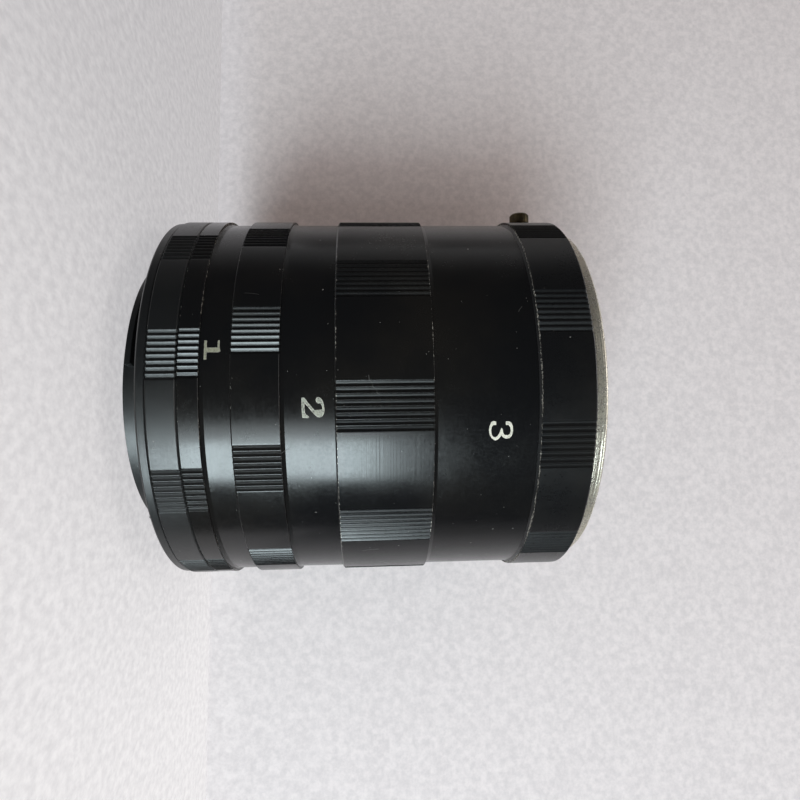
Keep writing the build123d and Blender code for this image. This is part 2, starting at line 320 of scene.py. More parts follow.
def new_material(name):
    """A material, its tree, its shader's inputs, and the place on the object."""
    material = bpy.data.materials.new(name)
    material.use_nodes = True
    tree = material.node_tree
    coordinates = tree.nodes.new("ShaderNodeTexCoord")
    return material, tree, tree.nodes["Principled BSDF"].inputs, coordinates.outputs["Object"]


def bump(tree, height, strength, distance):
    node = tree.nodes.new("ShaderNodeBump")
    node.inputs["Strength"].default_value = strength
    node.inputs["Distance"].default_value = distance
    feed(tree, node.inputs["Height"], height)
    return node.outputs["Normal"]


def black_finish(name, black, warm_black, gloss, edges, wear, marks, dust, groove=None, shine=0.5):
    """Black anodised or painted aluminium with lathe marks, dust, worn edges and hairlines.

    Grooves between the two given radii are duller, with old dirt in them."""
    material, tree, shader, place = new_material(name)
    turned = place_group(tree, turned_marks, place, Lines_per_metre=marks)
    grains = place_group(tree, dust_grains, place, Share=dust)
    motes = place_group(
        tree, dust_grains, place, Grains_per_metre=2100.0, Share=dust * 0.6, Size=0.11)
    worn = place_group(
        tree, worn_edges, place, Low_edge=edges[0] * mm, High_edge=edges[1] * mm, Wear=wear)
    scratch = place_group(tree, hairlines, place)
    cloud = ramp(tree, noise(tree, place, 45.0, 4.0, 0.6), 0.4, 0.75)
    colour = blend_colour(tree, cloud, black, warm_black)
    specks = maths(tree, "MAXIMUM", grains["Mask"], motes["Mask"])
    colour = blend_colour(tree, maths(tree, "MULTIPLY", specks, 0.4), colour, house_dust)
    faint = maths(tree, "MULTIPLY", scratch["Mask"], 0.1)
    colour = blend_colour(tree, faint, colour, house_dust)
    feed(tree, shader["Base Color"], blend_colour(tree, worn["Mask"], colour, bare_aluminium))
    feed(tree, shader["Metallic"], maths(tree, "MULTIPLY", worn["Mask"], 0.5))
    shader["Specular IOR Level"].default_value = shine
    fine = ramp(tree, noise(tree, place, 2600.0, 3.0, 0.65), 0.3, 0.7, -0.035, 0.035)
    smudges = noise(tree, place, 90.0, 4.0, 0.6)
    smear = ramp(tree, smudges, 0.3, 0.75, gloss - 0.02, gloss + 0.06)
    dulled = maths(tree, "MULTIPLY", maths(tree, "MAXIMUM", specks, scratch["Mask"]), 0.2)
    rough = maths(tree, "ADD", maths(tree, "ADD", smear, fine), dulled)
    if groove:
        radius = axis_parts(tree, place)[0]
        dirt = ramp(tree, radius, groove[0] * mm, groove[1] * mm, 0.22, 0.0)
        outside_barrel = maths(tree, "GREATER_THAN", radius, (groove[0] - 0.04) * mm)
        rough = maths(tree, "ADD", rough, maths(tree, "MULTIPLY", dirt, outside_barrel))
    feed(tree, shader["Roughness"], rough)
    relief = maths(tree, "ADD", turned["Height"], maths(tree, "MULTIPLY", specks, 0.5))
    feed(tree, shader["Normal"], bump(tree, relief, 0.5, 0.012 * mm))
    return material


plate = lathe("camera_bayonet_plate", [
    (pilot_bore, pilot_tip), (pilot_wall_outside, pilot_tip), (pilot_wall_outside, seat),
    (plate_edge - plate_chamfer, seat), (plate_edge, seat + plate_chamfer),
    (plate_edge, plate_top - plate_break), (plate_edge - plate_break, plate_top),
    (pilot_bore, plate_top),
])
screw_seat = drill("screw_seat", [
    (screw_mouth, seat - 1), (screw_mouth, seat + cone_start), (screw_hole, seat + cone_end),
    (screw_hole, seat + 1.6),
], screw_circle)
pin_slot = drill(
    "pin_slot", [(pin_slot_radius, seat - 1), (pin_slot_radius, seat + 2)], lock_circle,
    pin_slot_stretch)
cut(plate, join(copy_round(screw_seat, camera_screws), copy_round(pin_slot, [camera_slot])))
lug_root = pilot_wall_outside - lug_root_depth
lug = lathe("camera_lug", [
    (lug_root, lug_low), (lug_reach_radius, lug_low), (lug_reach_radius, lug_high),
    (lug_root, lug_high),
], soften=0.12, steps=lug_arc, azimuth=-lug_arc / 2, arc=lug_arc)
bayonet = join(plate, copy_round(lug, camera_lugs))
bayonet_finish = black_finish(
    "dull_black_bayonet", bayonet_black, bayonet_warm_black, gloss=0.36, edges=(seat, plate_top),
    wear=0.18, marks=1500.0, dust=0.04, shine=0.7)
dress(bayonet, bayonet_finish, "camera_end", ["camera_bayonet"])


# Countersunk screws. Small bright steel screws with a cross recess: three hold the camera
# bayonet from below, and three more of the same hold the lens flange from above.

screw_head, screw_shank, screw_length, screw_point = 1.4, 0.8, 3.2, 0.2
head_rim, head_depth = 0.1, 0.7
recess, recess_turn = (1.7, 0.34, 1.3), 20


def block(name, size, place=(0, 0, 0), turn=0, soften=0.05, segments=1):
    """A rectangular cutter with softened edges."""
    bpy.ops.object.select_all(action="DESELECT")
    bpy.ops.mesh.primitive_cube_add(size=1, location=(0, 0, 0))
    piece = bpy.context.active_object
    piece.name = piece.data.name = name
    piece.scale = metres(size)
    piece.location = metres(place)
    piece.rotation_euler.z = math.radians(turn)
    settle(piece)
    bpy.ops.object.mode_set(mode="EDIT")
    bpy.ops.mesh.select_all(action="SELECT")
    bpy.ops.mesh.bevel(offset=soften * mm, segments=segments, affect="EDGES")
    bpy.ops.object.mode_set(mode="OBJECT")
    return piece


def cross_screw(name, height, down=False):
    """One screw on the screw circle, its head at the given height and facing up or down."""
    screw = lathe(name, [
        (near_axis, 0), (screw_head, 0), (screw_head, -head_rim), (screw_shank, -head_depth),
        (screw_shank, -screw_length + screw_point), (screw_shank - screw_point, -screw_length),
        (near_axis, -screw_length),
    ], soften=0.03, closed=False, steps=40)
    blades = [block("recess", recess, turn=turn + recess_turn) for turn in (0, 90)]
    for blade in blades:
        cut(screw, blade)
    screw.rotation_euler.x = math.radians(180 if down else 0)
    screw.location = (screw_circle * mm, 0, height * mm)
    return settle(screw)


screw_finish, tree, shader, place = new_material("screw_steel")
brushed = place_group(tree, turned_marks, place, Lines_per_metre=7000.0)
grime = ramp(tree, noise(tree, place, 900.0, 4.0, 0.6), 0.42, 0.7)
steel = blend_colour(tree, grime, (0.42, 0.41, 0.39, 1), (0.16, 0.15, 0.135, 1))
feed(tree, shader["Base Color"], steel)
shader["Metallic"].default_value = 1.0
feed(tree, shader["Roughness"], ramp(tree, grime, 0.0, 1.0, 0.26, 0.5))
feed(tree, shader["Normal"], bump(tree, brushed["Height"], 0.3, 0.01 * mm))
screws = copy_round(cross_screw("camera_screws_steel", seat, down=True), camera_screws)
dress(screws, screw_finish, "camera_end", ["camera_bayonet_screws"], sharp=25)


# Camera ring. Turned aluminium with a knurled grip band, anodised black: it carries the bayonet
# below, and the first threaded spigot above.

camera_ring_top = 10.3
lug_chamber, tube_bore = 24.2, 27.4
thread_root, thread_crest, thread_pitch, thread_bite, thread_start = 28.7, 29.0, 0.5, 0.05, 0.3
spigot_reach, spigot_lead, spigot_lead_run, spigot_thread = 2.6, 0.25, 0.3, 1.8
band, groove_flank, band_root, band_end, rim_gap = 30.65, 30.48, 30.39, 29.8, 0.1
edge_bevel = 0.2
groups, grooves_in_group, groove_pitch = 10, 8, 1.65
mouth_half_width, floor_half_width, groove_lead = 0.4, 0.18, 0.35


def select_rims(piece, level):
    """Selects the open edges of a piece that lie at one height, in edit mode."""
    bpy.ops.object.mode_set(mode="EDIT")
    bpy.ops.mesh.select_mode(type="EDGE")
    bpy.ops.mesh.select_all(action="DESELECT")
    bpy.ops.mesh.select_non_manifold(extend=False, use_non_contiguous=False)
    bpy.ops.object.mode_set(mode="OBJECT")
    points = piece.data.vertices
    rims = [
        edge for edge in piece.data.edges
        if edge.select and all(abs(points[i].co.z - level * mm) < weld / 2 for i in edge.vertices)
    ]
    for item in (*points, *piece.data.edges):
        item.select = False
    for edge in rims:
        edge.select = points[edge.vertices[0]].select = points[edge.vertices[1]].select = True
    bpy.ops.object.mode_set(mode="EDIT")


def widen(factor):
    """Scales what is selected away from the axis, or towards it."""
    bpy.ops.transform.resize(value=(factor, factor, 1), center_override=(0, 0, 0))


def grip(name, bottom, top, middle, low_bevel, high_bevel, low_rim, high_rim):
    """The knurled wall of a grip band: groups of eight vee grooves between plain lands.

    Each end is bevelled, and its face runs in to a plain circle, the rim."""
    half_mouth = math.degrees(mouth_half_width / band)
    half_floor = math.degrees(floor_half_width / band)
    vee = (
        (-half_mouth, band), (-half_floor, groove_flank), (0, band_root),
        (half_floor, groove_flank), (half_mouth, band),
    )
    first = middle - groove_pitch * (grooves_in_group - 1) / 2
    last = first + groove_pitch * (grooves_in_group - 1)
    outline = [at(band, bottom, first - half_mouth - groove_lead)]
    for groove in range(grooves_in_group):
        azimuth = first + groove * groove_pitch
        outline += [at(radius, bottom, azimuth + aside) for aside, radius in vee]
    outline.append(at(band, bottom, last + half_mouth + groove_lead))
    wall = draw_outline(name, outline, closed=False)
    bpy.ops.mesh.bevel(offset=0.03 * mm, segments=2, affect="VERTICES")
    bpy.ops.mesh.select_all(action="DESELECT")
    bpy.ops.object.mode_set(mode="OBJECT")
    end = Vector(metres(outline[-1]))
    min(wall.data.vertices, key=lambda v: (v.co - end).length).select = True
    bpy.ops.object.mode_set(mode="EDIT")
    about_axis = {"center": (0, 0, 0), "axis": (0, 0, 1)}
    land = 360 / groups - (last - first + 2 * (half_mouth + groove_lead))
    bpy.ops.mesh.spin(steps=16, angle=-math.radians(land), **about_axis)
    bpy.ops.mesh.select_all(action="SELECT")
    bpy.ops.mesh.spin(steps=groups, dupli=True, angle=2 * math.pi, **about_axis)
    bpy.ops.mesh.select_all(action="SELECT")
    bpy.ops.mesh.remove_doubles(threshold=weld)
    bpy.ops.mesh.select_all(action="SELECT")
    low_scale, high_scale = (band - low_bevel) / band, (band - high_bevel) / band
    straight = top - bottom - low_bevel - high_bevel
    widen(low_scale)
    for rise, factor in ((low_bevel, 1 / low_scale), (straight, 1), (high_bevel, high_scale)):
        bpy.ops.mesh.extrude_region_move(TRANSFORM_OT_translate={"value": (0, 0, rise * mm)})
        widen(factor)
    for level, rim in ((top, high_rim), (bottom, low_rim)):
        select_rims(wall, level)
        bpy.ops.mesh.extrude_region_move()
        bpy.ops.transform.tosphere(value=1.0)
        bpy.ops.object.mode_set(mode="OBJECT")
        now = next(math.hypot(v.co.x, v.co.y) for v in wall.data.vertices if v.select)
        bpy.ops.object.mode_set(mode="EDIT")
        widen(rim * mm / now)
    bpy.ops.object.mode_set(mode="OBJECT")
    return wall


def close_ring(core, wall, heights):
    """Joins the grip wall to the turned core and bridges their rims at each height."""
    join(core, wall)
    for level in heights:
        select_rims(core, level)
        bpy.ops.mesh.bridge_edge_loops()
    bpy.ops.mesh.select_mode(type="VERT")
    clean_shell()
    return core


def wind(outline, pitch, turns, steps):
    """Sweeps a closed outline round the axis in a helix, and closes both its ends."""
    bpy.ops.object.mode_set(mode="OBJECT")
    sweep = outline.modifiers.new("helix", "SCREW")
    sweep.axis = "Z"
    sweep.steps = sweep.render_steps = steps
    sweep.iterations = turns
    sweep.screw_offset = pitch * mm
    sweep.use_merge_vertices = False
    bpy.ops.object.modifier_apply(modifier=sweep.name)
    bpy.ops.object.mode_set(mode="EDIT")
    bpy.ops.mesh.select_all(action="DESELECT")
    bpy.ops.mesh.select_non_manifold()
    bpy.ops.mesh.edge_face_add()
    clean_shell()
    return outline


def thread_ridge(name, foot, crest, bottom, length):
    """One fine screw thread, a vee ridge swept round the axis."""
    ridge = draw_outline(name, [
        at(foot, bottom), at(crest, bottom + 0.44 * thread_pitch),
        at(foot, bottom + 0.88 * thread_pitch),
    ])
    return wind(ridge, thread_pitch, int(length / thread_pitch), steps=96)


def spigot_ridge(name, shoulder):
    return thread_ridge(
        name, thread_root - thread_bite, thread_crest, shoulder + thread_start, spigot_thread)


spigot_top = camera_ring_top + spigot_reach
core = lathe("camera_ring_black", [
    (band_end, camera_ring_top), (thread_root, camera_ring_top),
    (thread_root, spigot_top - spigot_lead_run), (thread_root - spigot_lead, spigot_top),
    (tube_bore, spigot_top), (tube_bore, camera_ring_top), (lug_chamber, camera_ring_top),
    (lug_chamber, plate_top), (band_end, plate_top),
], closed=False)
camera_grip = grip(
    "camera_grip", plate_top, camera_ring_top, 267.3, edge_bevel, edge_bevel,
    band_end + rim_gap, band_end + rim_gap)
camera_ring = close_ring(core, camera_grip, (plate_top, camera_ring_top))
join(camera_ring, spigot_ridge("camera_thread", camera_ring_top))
camera_ring_finish = black_finish(
    "black_camera_ring", bayonet_black, bayonet_warm_black, gloss=0.34,
    edges=(plate_top + edge_bevel, camera_ring_top - edge_bevel), wear=0.2, marks=1800.0,
    dust=0.04, groove=(band_root, band), shine=0.7)
dress(camera_ring, camera_ring_finish, "camera_end", ["camera_mount_ring"])


# The three extension tubes, 7, 14 and 28 mm long. Each is turned from aluminium tube: a knurled
# grip band over a threaded socket at its camera end, a plain barrel, a threaded spigot, and
# fine ridges inside against stray light. Each has its number engraved and filled with paint.

ring_black, ring_warm_black = (0.0042, 0.0044, 0.005, 1), (0.0085, 0.0075, 0.0065, 1)
barrel, barrel_break, ledge, ledge_bevel = 30.1, 0.06, 30.3, 0.55
socket_crest, socket_root, socket_depth, socket_lead, socket_thread = 29.15, 29.45, 2.8, 0.15, 2.2


def glare_ridges(radius, start, end, pitch=0.7, depth=0.16):
    """Saw-tooth points down a bore, which make rings that keep light from glancing off it."""
    count = int(abs(end - start) / pitch)
    step = (end - start) / count
    points = []
    for tooth in range(count):
        points.append((radius, start + step * tooth))
        points.append((radius + depth, start + step * (tooth + 0.85)))
    return points + [(radius, end)]


def socket_ridge(name, bottom):
    return thread_ridge(
        name, socket_root + thread_bite, socket_crest, bottom + thread_start, socket_thread)


def extension_tube(name, bottom, length, band_height, middle):
    """One tube from its socket at the bottom to its spigot at the top."""
    band_top = bottom + band_height
    ledge_height = band_top - ledge_bevel
    shoulder = bottom + length
    spigot_top = shoulder + spigot_reach
    socket_end = bottom + socket_depth
    core = lathe(name, [
        (ledge, ledge_height), (barrel, band_top), (barrel, shoulder - 0.05),
        (barrel - barrel_break, shoulder), (thread_root, shoulder),
        (thread_root, spigot_top - spigot_lead_run), (thread_root - spigot_lead, spigot_top),
        *glare_ridges(tube_bore, spigot_top, socket_end + 0.2),
        (tube_bore, socket_end), (socket_root, socket_end), (socket_root, bottom + socket_lead),
        (socket_root + socket_lead, bottom), (band_end, bottom),
    ], soften=0, closed=False)
    wall = grip(
        name + "_grip", bottom, ledge_height, middle, edge_bevel, 0.03, band_end + rim_gap,
        ledge + 0.05)
    tube = close_ring(core, wall, (bottom, ledge_height))
    spigot = spigot_ridge(name + "_thread", shoulder)
    return join(tube, spigot, socket_ridge(name + "_socket_thread", bottom))


def engraved_number(name, outline, middle, height, tall, wide, radius):
    """A digit in paint, drawn as the engraver's outline with its rim, just outside a barrel.

    The digit's face keeps material 0, and its rim gets material 1."""
    left, low = min(u for u, v in outline), min(v for u, v in outline)
    across, up = max(u for u, v in outline) - left, max(v for u, v in outline) - low
    number = draw_outline(name, [
        (((u - left) / across - 0.5) * wide, -radius - 0.05, ((v - low) / up - 0.5) * tall)
        for u, v in outline
    ])
    bpy.ops.mesh.bevel(offset=0.06 * mm, segments=3, affect="VERTICES")
    bpy.ops.mesh.select_all(action="SELECT")
    bpy.ops.mesh.edge_face_add()
    bpy.ops.mesh.inset(thickness=0.05 * mm)
    bpy.ops.object.mode_set(mode="OBJECT")
    broadest = max(face.area for face in number.data.polygons)
    for face in number.data.polygons:
        face.material_index = 0 if face.area == broadest else 1
    bpy.ops.object.mode_set(mode="EDIT")
    for tenth in range(1, 10):
        bpy.ops.mesh.select_all(action="SELECT")
        middle_of_cut = ((tenth / 10 - 0.5) * wide * mm, 0, 0)
        bpy.ops.mesh.bisect(plane_co=middle_of_cut, plane_no=(1, 0, 0))
    bpy.ops.object.mode_set(mode="OBJECT")
    number.rotation_euler = (0, 0, math.radians(middle - 270))
    number.location = (0, 0, height * mm)
    return settle(number)


# Piece, CAD node, body, bottom, length, band height, azimuth of the front grooves, wear, digit
tube_places = (
    ("tube_1_black", "tube_1", "tube_one", camera_ring_top, 7.0, 3.45, 267.0, 0.42, "1"),
    ("tube_2_black", "tube_2", "tube_two", 17.3, 14.0, 7.15, 261.0, 0.3, "2"),
    ("tube_3_black", "tube_3", "tube_three", 31.3, 28.0, 14.05, 281.0, 0.66, "3"),
)
# Azimuth, height of the middle, size along the axis and size across it
number_places = {
    "1": (266.0, 14.92, 2.2, 2.69),
    "2": (281.25, 28.35, 3.06, 2.81),
    "3": (288.1, 54.0, 3.34, 2.76),
}
# Outlines on a plain grid, across the barrel and along it, which are scaled to those sizes
number_outlines = {
    "1": [
        (195, 148), (585, 148), (585, 202), (442, 206), (442, 440), (425, 485), (345, 466),
        (195, 462), (195, 424), (345, 424), (345, 206), (195, 202),
    ],
    "2": [
        (170, 165), (345, 162), (520, 172), (527, 225), (525, 295), (500, 290), (468, 240),
        (430, 218), (340, 213), (262, 216), (330, 275), (400, 335), (455, 380), (500, 430),
        (522, 480), (505, 532), (455, 566), (380, 578), (300, 566), (230, 546), (182, 512),
        (163, 468), (178, 432), (215, 420), (255, 436), (275, 466), (266, 500), (310, 530),
        (370, 542), (418, 530), (442, 495), (448, 460), (432, 425), (390, 392), (330, 340),
        (265, 282), (205, 240), (172, 210),
    ],
    "3": [
        (248, 232), (248, 290), (190, 287), (178, 245), (195, 200), (260, 170), (340, 160),
        (420, 173), (485, 213), (522, 275), (508, 325), (470, 362), (432, 392), (474, 425),
        (492, 480), (482, 545), (435, 586), (350, 604), (270, 596), (210, 566), (188, 520),
        (190, 467), (250, 467), (254, 520), (292, 553), (352, 563), (410, 546), (434, 498),
        (424, 448), (384, 420), (330, 410), (300, 392), (335, 374), (392, 352), (446, 318),
        (467, 272), (450, 232), (404, 208), (340, 199), (285, 208),
    ],
}


def paint(name, fresh, worn):
    """Paint rubbed into an engraving: matt, and greyer where it has worn."""
    material, tree, shader, place = new_material(name)
    worn_paint = ramp(tree, noise(tree, place, 3500.0, 3.0, 0.6), 0.42, 0.7)
    feed(tree, shader["Base Color"], blend_colour(tree, worn_paint, fresh, worn))
    feed(tree, shader["Roughness"], ramp(tree, worn_paint, 0.0, 1.0, 0.55, 0.8))
    feed(tree, shader["Normal"], bump(tree, worn_paint, 0.3, 0.01 * mm))
    return material


number_paints = {
    "1": paint("olive_grey_paint", (0.30, 0.30, 0.22, 1), (0.17, 0.17, 0.13, 1)),
    "2": paint("grey_paint", (0.36, 0.37, 0.31, 1), (0.10, 0.10, 0.09, 1)),
    "3": paint("cream_paint", (0.66, 0.64, 0.55, 1), (0.42, 0.41, 0.36, 1)),
}
number_rims = {
    "1": paint("olive_grey_rim", (0.33, 0.32, 0.27, 1), (0.22, 0.21, 0.18, 1)),
    "2": paint("pale_rim", (0.72, 0.71, 0.64, 1), (0.36, 0.36, 0.31, 1)),
    "3": paint("cream_rim", (0.78, 0.76, 0.66, 1), (0.58, 0.57, 0.50, 1)),
}
for name, node, body, bottom, length, band_height, middle, wear, digit in tube_places:
    tube = extension_tube(name, bottom, length, band_height, middle)
    tube_finish = black_finish(
        name + "_finish", ring_black, ring_warm_black, gloss=0.2,
        edges=(bottom + edge_bevel, bottom + band_height - ledge_bevel), wear=wear, marks=2600.0,
        dust=0.05, groove=(band_root, band))
    dress(tube, tube_finish, body, [node])
    number = engraved_number(
        "number_" + digit, number_outlines[digit], *number_places[digit], barrel)
    wrap = number.modifiers.new("wrap", "SHRINKWRAP")
    wrap.target = tube
    wrap.wrap_method = "NEAREST_SURFACEPOINT"
    wrap.wrap_mode = "ABOVE_SURFACE"
    wrap.offset = 0.012 * mm
    thicken = number.modifiers.new("thicken", "SOLIDIFY")
    thicken.thickness = 0.03 * mm
    thicken.offset = -1
    pick(number)
    bpy.ops.object.modifier_apply(modifier=wrap.name)
    bpy.ops.object.modifier_apply(modifier=thicken.name)
    bpy.ops.object.mode_set(mode="EDIT")
    clean_shell()
    dress(number, number_paints[digit], body, sharp=40)
    number.data.materials.append(number_rims[digit])


# Lens ring. Turned like the tubes, with a knurled band over its whole height. Its thick collar
# houses the lens lock, and a slot in its side lets the lock's knob move.

tube_3_top, lens_ring_top, flange_top = 59.3, 67.35, 69.6
lens_ledge = tube_3_top + 0.35
collar_bore = 27.1
lock_azimuth, lock_bore_radius, lock_bore_floor = 187, 1.2, 60.1
stem_slot_size, stem_slot_middle = (6, 1.4, 2.8), (29, 0, 63.95)
socket_end = tube_3_top + socket_depth
core = lathe("lens_ring_black", [
    (band_end, lens_ring_top), (lug_chamber, lens_ring_top), (lug_chamber, tube_3_top),
    (collar_bore, tube_3_top), (collar_bore, socket_end), (socket_root, socket_end),
    (socket_root, tube_3_top + socket_lead), (socket_root + socket_lead, tube_3_top),
    (barrel - barrel_break, tube_3_top), (barrel, tube_3_top + 0.05), (ledge, lens_ledge),
], soften=0, closed=False)
lens_grip = grip(
    "lens_grip", lens_ledge, lens_ring_top, 256.0, 0.03, edge_bevel, ledge + 0.05,
    band_end + rim_gap)
lens_ring = close_ring(core, lens_grip, (lens_ledge, lens_ring_top))
stem_slot = block("stem_slot", stem_slot_size, stem_slot_middle, soften=0.3, segments=3)
lock_bore = drill(
    "lock_bore", [(lock_bore_radius, lock_bore_floor), (lock_bore_radius, 69)], lock_circle)
cut(lens_ring, copy_round(stem_slot, [lock_azimuth]))
cut(lens_ring, copy_round(lock_bore, [lock_azimuth]))
join(lens_ring, socket_ridge("lens_socket_thread", tube_3_top))
lens_ring_finish = black_finish(
    "black_lens_ring", ring_black, ring_warm_black, gloss=0.3, edges=(lens_ledge, lens_ledge),
    wear=0.7, marks=2200.0, dust=0.06, groove=(band_root, band))
dress(lens_ring, lens_ring_finish, "lens_end", ["lens_mount_ring"])


# Lens flange. Brass plated with satin chrome, the bearing face of the lens bayonet: three wide
# entries for the lens lugs, a hole for the lock pin, and three countersunk screws.

throat, flange_edge, flange_chamfer = 22.0, 28.8, 0.3
entry_inside, entry_depth, entry_arc = 20.3, 23.8, 58
below_flange, above_flange = 66, 71
lens_screws, pin_hole_radius = (277, 37, 157), 0.88
flange = lathe("lens_flange_chrome", [
    (throat, lens_ring_top), (flange_edge, lens_ring_top),
    (flange_edge, flange_top - flange_chamfer), (flange_edge - flange_chamfer, flange_top),
    (throat, flange_top),
])
entry = lathe("lug_entry", [
    (entry_inside, below_flange), (entry_depth, below_flange), (entry_depth, above_flange),
    (entry_inside, above_flange),
], soften=0, steps=entry_arc, azimuth=-entry_arc / 2, arc=entry_arc)
screw_seat = drill("flange_screw_seat", [
    (screw_hole, below_flange), (screw_hole, flange_top - cone_end),
    (screw_mouth, flange_top - cone_start), (screw_mouth, above_flange),
], screw_circle)
lock_hole = drill(
    "lock_hole", [(pin_hole_radius, below_flange), (pin_hole_radius, above_flange)], lock_circle)
openings = copy_round(entry, lens_screws), copy_round(screw_seat, lens_screws)
cut(flange, join(*openings, copy_round(lock_hole, [lock_azimuth])))

# The plating is even on the face. On the rim the turned lines are coarse, and sparkle.
satin_chrome, tree, shader, place = new_material("satin_chrome")
brushed = place_group(tree, turned_marks, place, Lines_per_metre=4200.0)
grains = place_group(tree, dust_grains, place, Share=0.12)
scratch = place_group(tree, hairlines, place, Scale=90.0, Share=0.62)
tarnish = ramp(tree, noise(tree, place, 320.0, 5.0, 0.65), 0.38, 0.72)
colour = blend_colour(tree, tarnish, (0.86, 0.80, 0.69, 1), (0.72, 0.65, 0.53, 1))
flecks = ramp(tree, noise(tree, place, 3600.0, 2.0, 0.6), 0.54, 0.66)
colour = blend_colour(tree, maths(tree, "MULTIPLY", flecks, 0.45), colour, (0.26, 0.24, 0.17, 1))
dusty = maths(tree, "MULTIPLY", grains["Mask"], 0.6)
colour = blend_colour(tree, dusty, colour, (0.2, 0.18, 0.15, 1))
faint = maths(tree, "MULTIPLY", scratch["Mask"], 0.5)
feed(tree, shader["Base Color"], blend_colour(tree, faint, colour, (0.8, 0.78, 0.72, 1)))
feed(tree, shader["Metallic"], ramp(tree, grains["Mask"], 0.0, 1.0, 0.85, 0.1))
pitted = ramp(tree, noise(tree, place, 2400.0, 3.0, 0.7), 0.3, 0.7, -0.05, 0.06)
sheen = ramp(tree, tarnish, 0.0, 1.0, 0.27, 0.39)
feed(tree, shader["Roughness"], maths(tree, "ADD", sheen, pitted))
pits = maths(tree, "MULTIPLY", noise(tree, place, 4200.0, 2.0, 0.6), 0.38)
rough_face = maths(tree, "ADD", brushed["Height"], pits)
radius, height = axis_parts(tree, place)
rim = ramp(tree, radius, (flange_edge - 0.35) * mm, (flange_edge - 0.1) * mm, 0.13, 1.0)
relief = maths(tree, "MULTIPLY", rough_face, rim)
feed(tree, shader["Normal"], bump(tree, relief, 0.8, 0.14 * mm))
dress(flange, satin_chrome, "lens_end", ["lens_flange"], sharp=20)
screws = copy_round(cross_screw("flange_screws_steel", flange_top), lens_screws)
dress(screws, screw_finish, "lens_end", ["lens_flange_screws"], sharp=25)


# Springs, pins and stop. Three bowed leaf springs of strip steel press the lens lugs up against
# the flange, a pin stops the lens at the end of its turn, and a coil spring pushes the lock up.

coil_radius, wire_radius, coil_turns = 0.85, 0.14, 4
coil_foot, coil_head, lock_travel = lock_bore_floor, 63.4, 1.3

spring_finish, tree, shader, place = new_material("spring_steel")
rolled = noise(tree, place, 1800.0, 4.0, 0.6)
scale = ramp(tree, rolled, 0.4, 0.7)
steel = blend_colour(tree, scale, (0.40, 0.395, 0.38, 1), (0.20, 0.19, 0.17, 1))
feed(tree, shader["Base Color"], steel)
shader["Metallic"].default_value = 1.0
feed(tree, shader["Roughness"], ramp(tree, rolled, 0.3, 0.7, 0.24, 0.42))
feed(tree, shader["Normal"], bump(tree, rolled, 0.25, 0.01 * mm))
for name in ("leaf_spring_1", "leaf_spring_2", "leaf_spring_3", "lens_stop_pin", "lock_pin"):
    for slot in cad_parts[name].material_slots:
        slot.link = "OBJECT"
        slot.material = spring_finish

wire = []
for corner in range(10):
    turn = math.radians(36 * corner)
    out, up = wire_radius * math.cos(turn), wire_radius * (1 + math.sin(turn))
    wire.append(at(coil_radius + out, coil_foot + up))
coil = draw_outline("lock_spring_steel", wire)
coil_pitch = (coil_head - coil_foot - 2 * wire_radius) / coil_turns
wind(coil, coil_pitch, coil_turns, steps=32)
coil.location.x = lock_circle * mm
coil = copy_round(settle(coil), [lock_azimuth])
dress(coil, spring_finish, "lens_end", ["lock_spring"], sharp=50)
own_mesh(coil)


# Release knob. A small brass knob, lacquered and browned with age, whose stem goes through the
# slot of the lens ring and screws into the lock pin. Its rim is milled, its end slotted.

knob_height = 64.6
stem_radius, neck_radius, head_radius = 0.6, 1.2, 1.75
neck_start, head_start, knob_end, knob_chamfer = 30.95, 31.85, 33.55, 0.3
flute_pitch, flute_width = 15, 7.5

knob_finish, tree, shader, place = new_material("browned_brass")
brushed = place_group(tree, turned_marks, place, Lines_per_metre=6000.0)
age = ramp(tree, noise(tree, place, 900.0, 5.0, 0.65), 0.35, 0.7)
brass = blend_colour(tree, age, (0.15, 0.115, 0.06, 1), (0.065, 0.05, 0.03, 1))
feed(tree, shader["Base Color"], brass)
feed(tree, shader["Metallic"], ramp(tree, age, 0.0, 1.0, 0.9, 0.6))
feed(tree, shader["Roughness"], ramp(tree, age, 0.0, 1.0, 0.42, 0.6))
feed(tree, shader["Normal"], bump(tree, brushed["Height"], 0.3, 0.01 * mm))
knob = lathe("release_knob_brass", [
    (near_axis, lock_circle), (stem_radius, lock_circle), (stem_radius, neck_start),
    (neck_radius, neck_start), (neck_radius, head_start), (head_radius, head_start),
    (head_radius, knob_end - knob_chamfer), (head_radius - knob_chamfer, knob_end),
    (near_axis, knob_end),
], soften=0.05, closed=False, steps=48)
bpy.ops.object.mode_set(mode="EDIT")
bpy.ops.mesh.select_mode(type="FACE")
bpy.ops.mesh.select_all(action="DESELECT")
bpy.ops.object.mode_set(mode="OBJECT")
for face in knob.data.polygons:
    heights = [knob.data.vertices[i].co.z for i in face.vertices]
    on_wall = max(heights) - min(heights) > 1.0 * mm
    on_head = math.hypot(face.center.x, face.center.y) > (head_radius - 0.05) * mm
    turn = math.degrees(math.atan2(face.center.y, face.center.x)) % flute_pitch
    face.select = on_wall and on_head and turn < flute_width
bpy.ops.object.mode_set(mode="EDIT")
bpy.ops.mesh.inset(thickness=0.02 * mm, depth=-0.08 * mm, use_individual=False)
bpy.ops.mesh.select_mode(type="VERT")
bpy.ops.object.mode_set(mode="OBJECT")
cut(knob, block("slit", (5, 0.4, 1.0), (0, 0, knob_end)))
knob.rotation_euler = (0, math.radians(90), 0)
settle(knob)
knob.rotation_euler = (0, 0, math.radians(lock_azimuth))
knob.location = (0, 0, knob_height * mm)
settle(knob)
dress(knob, knob_finish, "lens_lock", ["release_knob"], sharp=25)


